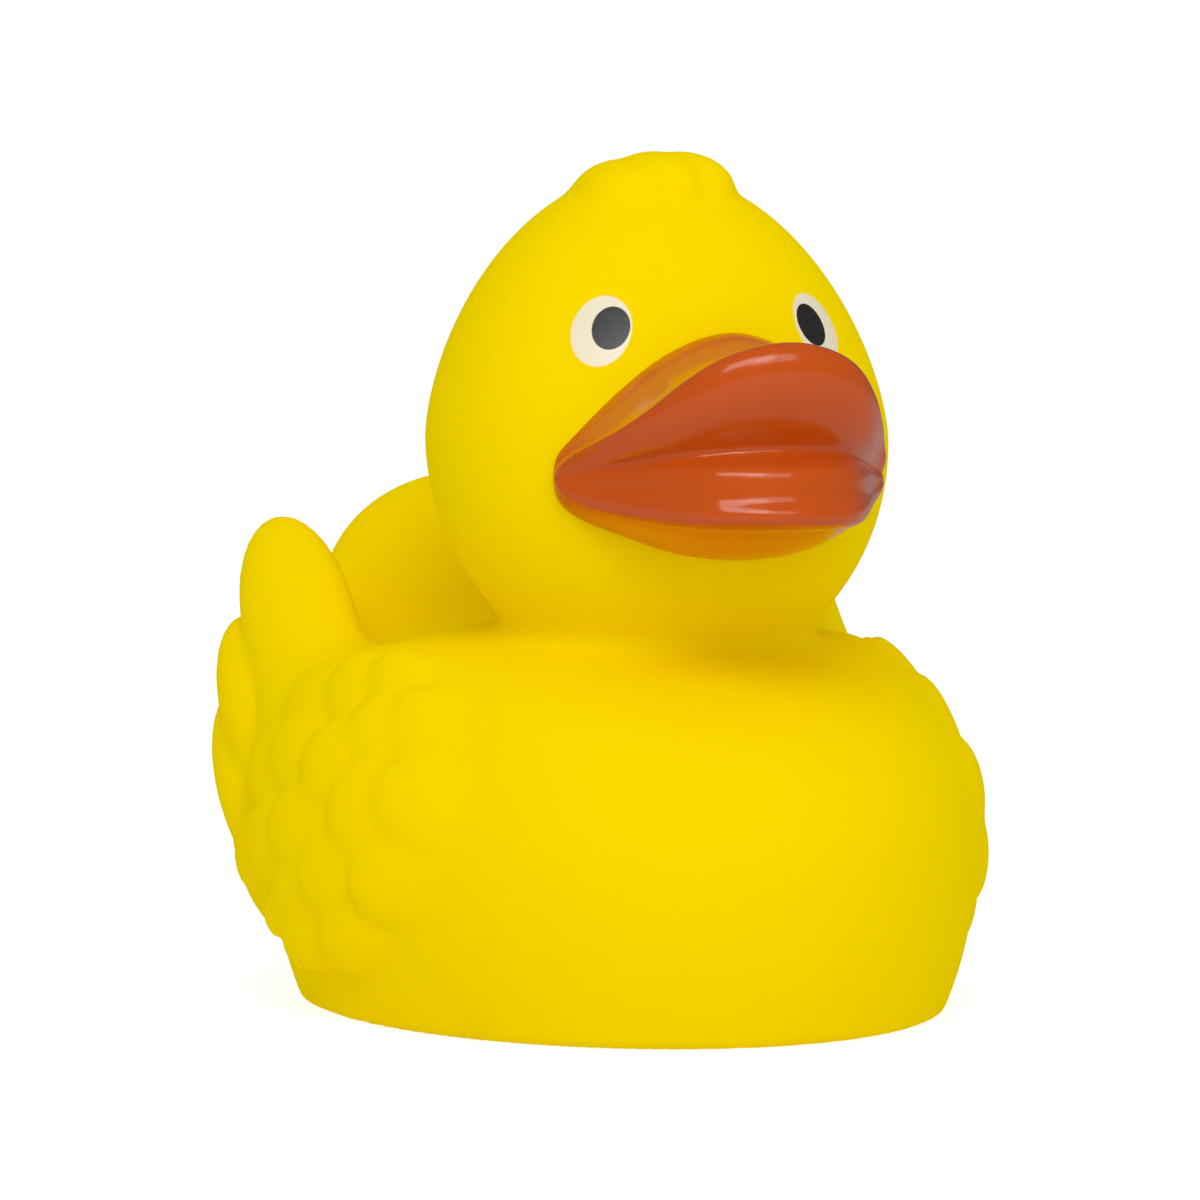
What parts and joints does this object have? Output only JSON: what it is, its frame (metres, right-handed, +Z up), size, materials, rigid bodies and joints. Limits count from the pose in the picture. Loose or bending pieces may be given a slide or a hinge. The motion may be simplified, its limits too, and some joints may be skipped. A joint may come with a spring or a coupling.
{
  "type": "rubber duck",
  "caption": "Squeaky bath duck: one hollow vinyl moulding with scaled wings, an upturned tail and a broad painted beak, standing on a flat base.",
  "frame": {"origin": "bottom centre of the duck's bounding box, on the surface it stands on", "axes": "+Z up, the duck faces -Y and its tail is towards +Y, and X runs across it with X = 0 as its plane of symmetry"},
  "size_m": [0.0692, 0.0864, 0.0795],
  "materials": {
    "yellow_vinyl": "matte",
    "white_plastic": "satin"
  },
  "bodies": {
    "root": {"duck_body": "yellow_vinyl", "squeaker": "white_plastic"}
  },
  "joints": []
}
